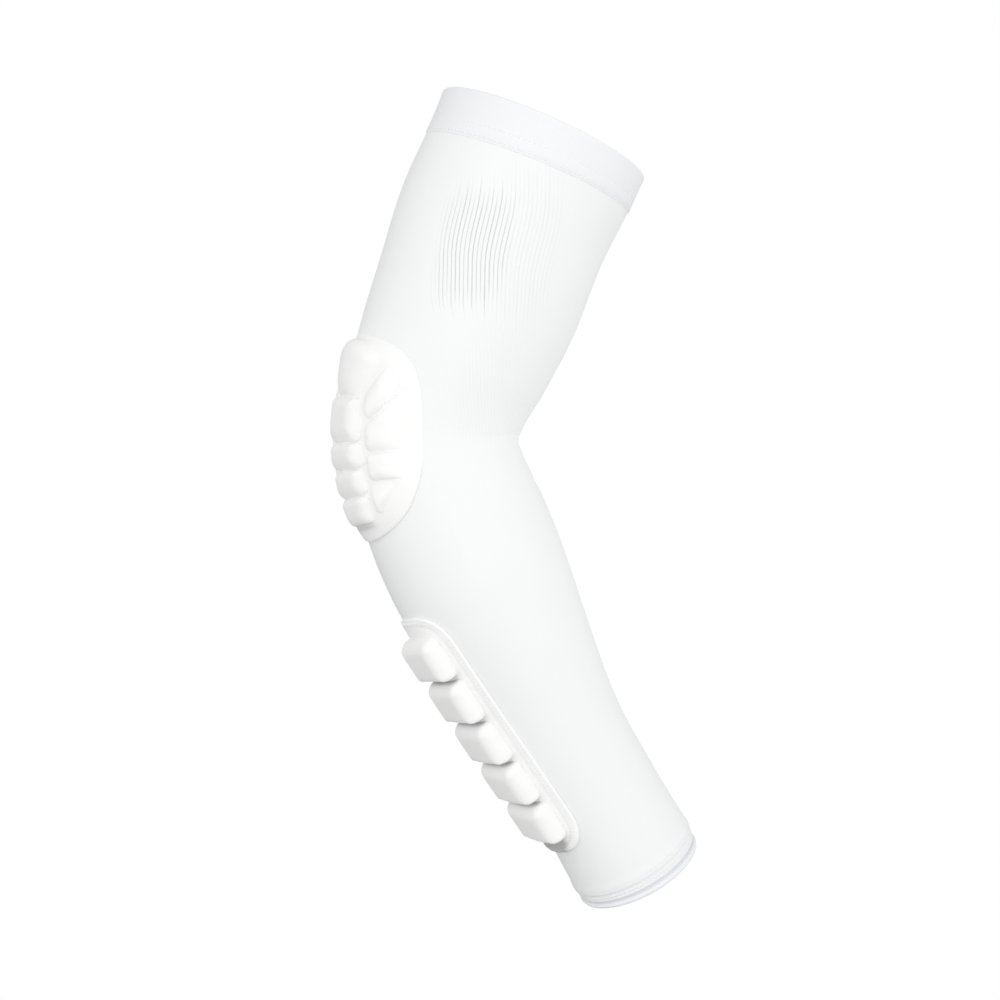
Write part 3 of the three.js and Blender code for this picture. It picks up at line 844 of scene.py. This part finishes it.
def swollen(points, faces, freedom):
    """Cushions blown up a little, as foam swells its skin: Blender's cloth under an even pressure from inside
    with no gravity, at twenty times life size, while the points with no freedom stay. A point's move is its
    freedom times the limit times the hyperbolic tangent of its length over the limit."""
    mesh = bpy.data.meshes.new("swelling")
    mesh.from_pydata((points * SWELL_SCALE).tolist(), [], faces)
    skin = bpy.data.objects.new("swelling", mesh)
    bpy.context.collection.objects.link(skin)
    skin.vertex_groups.new(name="held").add(np.flatnonzero(freedom == 0).tolist(), 1.0, "REPLACE")
    cloth = skin.modifiers.new("cloth", "CLOTH")
    cloth.settings.vertex_group_mass = "held"
    cloth.settings.use_pressure = True
    cloth.settings.uniform_pressure_force = SWELL_PRESSURE
    cloth.settings.effector_weights.gravity = 0
    for step in range(1, SWELL_FRAMES + 1):
        bpy.context.scene.frame_set(step)
    settled = np.empty(points.size)
    skin.evaluated_get(bpy.context.evaluated_depsgraph_get()).data.vertices.foreach_get("co", settled)
    bpy.data.objects.remove(skin)
    bpy.data.meshes.remove(mesh)
    bpy.context.scene.frame_set(1)
    move = settled.reshape(-1, 3) / SWELL_SCALE - points
    length = np.linalg.norm(move, axis=1, keepdims=True).clip(1e-6)
    return points + move * freedom[:, None] * SWELL_LIMIT * np.tanh(length / SWELL_LIMIT) / length


def with_middles(rows):
    """Values of many blocks' rings, as one list for each block between the means of its end rings."""
    ends = rows[:, [0, -1]].mean(axis=2, keepdims=True)
    listed = rows.reshape(len(rows), -1, *rows.shape[3:])
    return np.concatenate([ends[:, 0], listed, ends[:, 1]], axis=1)


def moulded_blocks(pad, forms, press):
    """One smooth cushion for each node, from the rings of its form. They are blown up together: each point is
    held at the underside, and grows free by a soft step with its height over the seat. The press tells where
    shade is painted on the skin, as the share of its deep tint."""
    places, lifts, heights = (np.array(columns) for columns in zip(*forms.values()))
    blocks, rings, count = lifts.shape
    flat = with_middles(places)
    points = on_pad(pad, flat, with_middles(lifts))
    sides, ends = capped_faces(rings, count)
    first = np.arange(blocks)[:, None, None] * points.shape[1]
    all_faces = (first + sides).reshape(-1, 4).tolist() + (first + ends).reshape(-1, 3).tolist()
    freedom = ease(with_middles(heights), *FREE_HEIGHTS)
    points = swollen(points.reshape(-1, 3), all_faces, freedom.ravel()).reshape(points.shape)
    faces = sides.tolist() + ends.tolist()
    corners = np.concatenate([sides.ravel(), ends.ravel()])
    for node, block_points, block_flat in zip(forms, points, flat):
        piece = new_piece(node + "_cushion", block_points, faces, block_flat[corners], moulded_knit,
                          "foam_skin", [node], press(block_flat))
        smooth = piece.modifiers.new("smooth", "SUBSURF")
        smooth.levels = smooth.render_levels = 1


elbow_forms = {}
for block, (top, rounding, top_shoulder, top_form, rows) in CENTRE_BLOCKS.items():
    front_edge = [(half, q) for q, half, _, _ in rows]
    back_edge = [(-half, q) for q, half, _, _ in rows[::-1]]
    side_edges = [(shoulder, form) for _, _, shoulder, form in rows]
    edges = side_edges + side_edges[-2::-1] + [(top_shoulder, top_form)]
    flat = 0.0 if block == "cap" else CENTRE_FLAT
    form = block_form(front_edge + back_edge, rounding, edges, top, flat, elbow_dome)
    elbow_forms["elbow_block_" + block] = form
for number, (corners, edges) in enumerate(SIDE_BLOCKS, 1):
    places, lifts, heights = block_form(corners, SIDE_ROUNDING, edges, SIDE_TOP, 0.0, elbow_dome)
    lifts = lifts - dimples(places) * ease(heights, *FREE_HEIGHTS)
    elbow_forms[f"elbow_block_front_{number}"] = places, lifts, heights
    elbow_forms[f"elbow_block_back_{number}"] = places[:, ::-1] * (-1, 1), lifts[:, ::-1], heights[:, ::-1]
moulded_blocks(ELBOW_PAD, elbow_forms, foot_shadow)

# Forearm pad base
# A long flange like the elbow's, sewn on down the outer forearm. Its edge is overlocked into a double bead,
# which stands up as a lip at the lower end. A row of stitches sinks a channel between the bead and the bars.
FOREARM_PAD = {"down": 166.0, "turn": np.radians(22)}
FLANGE = {"width": 48.0, "length": 145.0, "rounding": 20.0, "middle": 0.5}
FLANGE_POINTS = 300
CHANNEL_IN = 4.3
BEADED_EDGE = np.array([
    # distance in from the edge, lift
    (0.0, BASE_FOOT),
    (0.0, 0.5),
    (0.3, 1.1),
    (0.7, 1.45),
    (1.2, 1.55),
    (1.8, 1.35),
    (2.4, 1.55),
    (3.0, 1.7),
    (3.6, 1.55),
    (CHANNEL_IN, 1.3),
    (4.9, 1.45),
    (5.6, 1.68),
    (6.5, 1.82),
    (7.5, 1.9),
])
LIP = {"from": 54.0, "full": 68.0, "in": 2.2, "half": 1.7, "rise": 1.5}
# painted shadow in the slot under the last bar
SLOT_SHADOW = {"from": 62.5, "full": 64.5, "front": 15.0, "width": 5.0}
FLANGE_THREADS = (
    # pitch, start and end in from the edge, lift at the start and end, hump, hump on the lip, and the slant
    # as a share of the pitch
    (2.6, CHANNEL_IN, CHANNEL_IN, 1.25, 1.25, 0.22, 0.22, 0.86),
    (1.9, 0.1, 3.9, 0.8, 1.3, 0.6, 2.2, 0.5),
)


def rectangle(width, length, middle):
    """Corners of a rectangle round a middle q."""
    half = width / 2
    top = middle - length / 2
    foot = middle + length / 2
    return [(-half, top), (half, top), (half, foot), (-half, foot)]


def lip_share(places):
    """How much of the lip stands up: a soft step from none to all of it, down the flange's lower end."""
    return ease(places[..., 1], LIP["from"], LIP["full"])


def slot_shadow(places):
    """Where shadow is painted on the flange in the slot under the last bar: a soft step down the lower end,
    except at its front corner."""
    below = ease(places[..., 1], SLOT_SHADOW["from"], SLOT_SHADOW["full"])
    return below * ease(places[..., 0], SLOT_SHADOW["front"], SLOT_SHADOW["front"] - SLOT_SHADOW["width"])


def flange_stitches(name, outline):
    """The threads of the flange: one row along the channel, and the overlock's slanting stitches, each from
    outside the bead to the channel."""
    run = np.linalg.norm(np.diff(outline, axis=0, append=outline[:1]), axis=1).sum()
    starts, ends, ups, humps = [], [], [], []
    for pitch, near, far, low, high, hump, lip_hump, slant in FLANGE_THREADS:
        line = spread_evenly(outline, int(run / pitch))
        # No threads are made where the slot's painted shadow lies.
        clear_of_shadow = slot_shadow(line) < 0.5
        out = outward(line)[clear_of_shadow]
        step = (np.roll(line, -1, axis=0) - line)[clear_of_shadow]
        line = line[clear_of_shadow]
        starts.append(on_pad(FOREARM_PAD, line - near * out, low))
        ends.append(on_pad(FOREARM_PAD, line + slant * step - far * out, high))
        ups.append(on_pad(FOREARM_PAD, line, 1.0) - on_pad(FOREARM_PAD, line, 0.0))
        humps.append(hump + (lip_hump - hump) * lip_share(line))
    threads = thread_mesh(*(np.concatenate(rows) for rows in (starts, ends, ups, humps)))
    new_piece(name, *threads, white_thread, "pad_skin")


flange_corners = rectangle(FLANGE["width"], FLANGE["length"], FLANGE["middle"])
flange_outline = rounded_outline(flange_corners, FLANGE["rounding"], FLANGE_POINTS)
flange_places, flange_lifts, flange_top = base_rings(flange_outline, BEADED_EDGE)
edge_rows = slice(flange_top, flange_top - 1 + len(BEADED_EDGE))
lip_form = LIP["rise"] * np.exp(-(((BEADED_EDGE[1:, 0, None] - LIP["in"]) / LIP["half"]) ** 2))
flange_lifts[edge_rows] += lip_form * lip_share(flange_places[edge_rows])
# Painted shadow: the flange goes to the deep tint in the slot under the last bar.
flange_shadow = slot_shadow(flange_places)
pad_base("forearm_pad_flange", FOREARM_PAD, flange_places, flange_lifts, flange_shadow, moulded_knit,
         "forearm_pad_base")
flange_stitches("forearm_flange_stitches", flange_outline)

# Forearm pad bars
# A row of five equal foam bars down the outer forearm under the same moulded skin. Each has a level face,
# rounded edges and a sharper foot, and the grooves between them are deep and narrow.
BAR = {"count": 5, "pitch": 25.2, "length": 22.5, "width": 33.0, "rounding": 3.8, "middle": 1.2, "top": 7.7,
       "flat": 0.0152}
# painted shade beside the grooves between the bars
GROOVE_SHADE = {"full": 0.7, "clear": 1.8, "fade": 3.5}
BAR_EDGES = {
    # shoulder and form
    "top": (5.5, HARD),
    "front": (6.0, ROUNDED),
    "foot": (2.4, HARD),
    "back": (6.0, HARD),
}


def bar_seat(places):
    """Lift of the forearm base's top under the bars, which is level."""
    return np.full(places.shape[:-1], BEADED_EDGE[-1, 1])


def groove_shade(places):
    """Where shade is painted on a bar's skin beside a groove: within a soft step from the groove's middle
    line, below the first bar's middle, and fading out towards the groove's open ends."""
    bars_down = (places[..., 1] - BAR["middle"]) / BAR["pitch"]
    distance = np.abs(bars_down % 1 - 0.5) * BAR["pitch"]
    pressed = ease(distance, GROOVE_SHADE["clear"], GROOVE_SHADE["full"]) * (bars_down > -(BAR["count"] - 1) / 2)
    return pressed * ease(np.abs(places[..., 0]), BAR["width"] / 2, BAR["width"] / 2 - GROOVE_SHADE["fade"])


bar_forms = {}
for number in range(BAR["count"]):
    bar_q = BAR["middle"] + (number - (BAR["count"] - 1) / 2) * BAR["pitch"]
    bar_corners = rectangle(BAR["width"], BAR["length"], bar_q)
    bar_form = block_form(bar_corners, BAR["rounding"], BAR_EDGES.values(), BAR["top"], BAR["flat"], bar_seat)
    bar_forms[f"forearm_block_{number + 1}"] = bar_form
moulded_blocks(FOREARM_PAD, bar_forms, groove_shade)

# Studio
# A plain pale floor well below the sleeve, which is held up as if worn, inside a white surround. Soft light
# comes mostly from the right and the front, less from the left, and in a narrow share from behind.
FLOOR_RADIUS = 0.72
FLOOR_DROP = 0.3
FLOOR_SIDES = 96
floor_turn = np.arange(FLOOR_SIDES) * 2 * np.pi / FLOOR_SIDES
floor_circle = FLOOR_RADIUS * np.stack([np.cos(floor_turn), np.sin(floor_turn)], axis=-1)
floor_rim = np.insert(floor_circle, 2, cad_box[0].z - FLOOR_DROP, axis=1)
floor_mesh = bpy.data.meshes.new("floor")
floor_mesh.from_pydata(floor_rim.tolist(), [], [list(range(FLOOR_SIDES))])
floor = bpy.data.objects.new("floor", floor_mesh)
bpy.context.collection.objects.link(floor)
pale_floor = bpy.data.materials.new("pale_floor")
pale_floor.use_nodes = True
floor_shader = pale_floor.node_tree.nodes["Principled BSDF"]
floor_shader.inputs["Base Color"].default_value = (0.9, 0.9, 0.9, 1)
floor_shader.inputs["Roughness"].default_value = 0.8
floor_mesh.materials.append(pale_floor)
floor.visible_diffuse = False

LIGHT_EVEN = 0.13
LIGHT_LOBES = (
    # where the light comes from, as x to the right, y to the back and z up; its strength and its focus
    ((1.0, 0.0, 0.0), 0.9, 1.0),
    ((0.0, -1.0, 0.0), 0.7, 1.0),
    ((-0.7, 0.0, 0.7), 0.4, 1.0),
    ((-0.7, -0.7, 0.0), 0.48, 1.0),
    ((0.0, 1.0, 0.0), 0.5, 4.0),
)
world = bpy.data.worlds.new("studio")
world.use_nodes = True
bpy.context.scene.world = world
sky = world.node_tree
seen = sky.nodes["Background"]
seen.inputs["Color"].default_value = (1, 1, 1, 1)
way = sky.nodes.new("ShaderNodeTexCoord")
strength = LIGHT_EVEN
for source, share, focus in LIGHT_LOBES:
    facing = sky.nodes.new("ShaderNodeVectorMath")
    facing.operation = "DOT_PRODUCT"
    facing.inputs[1].default_value = source
    sky.links.new(way.outputs["Generated"], facing.inputs[0])
    lobe = math_node(sky, "POWER", math_node(sky, "MAXIMUM", facing.outputs["Value"], 0.0), focus)
    strength = math_node(sky, "MULTIPLY_ADD", lobe, share, strength)
lighting = sky.nodes.new("ShaderNodeBackground")
lighting.inputs["Color"].default_value = (1, 1, 1, 1)
sky.links.new(strength, lighting.inputs["Strength"])
chooser = sky.nodes.new("ShaderNodeMixShader")
path = sky.nodes.new("ShaderNodeLightPath")
sky.links.new(path.outputs["Is Camera Ray"], chooser.inputs["Fac"])
sky.links.new(lighting.outputs[0], chooser.inputs[1])
sky.links.new(seen.outputs[0], chooser.inputs[2])
sky.links.new(chooser.outputs[0], sky.nodes["World Output"].inputs["Surface"])

SLEEVE_MIDDLE = np.array((0.034, 0.0, -0.03))
CAMERA_DISTANCE = 1.18


def aim(holder, place, target):
    """Sets an object at a place, with its own -Z axis towards a target and its Y axis upwards."""
    ahead = unit(np.array(target) - np.array(place))
    right = unit(np.cross(ahead, (0, 0, 1)))
    up = np.cross(right, ahead)
    turn = np.eye(4)
    turn[:3, :3] = np.stack([right, up, -ahead], axis=-1)
    turn[:3, 3] = place
    holder.matrix_world = Matrix(turn.tolist())


camera = bpy.data.cameras.new("camera")
camera.lens = 85
camera.sensor_width = 36
camera_holder = bpy.data.objects.new("camera", camera)
bpy.context.collection.objects.link(camera_holder)
aim(camera_holder, SLEEVE_MIDDLE - (0, CAMERA_DISTANCE, 0), SLEEVE_MIDDLE)
bpy.context.scene.camera = camera_holder
bpy.context.scene.view_settings.view_transform = "Standard"
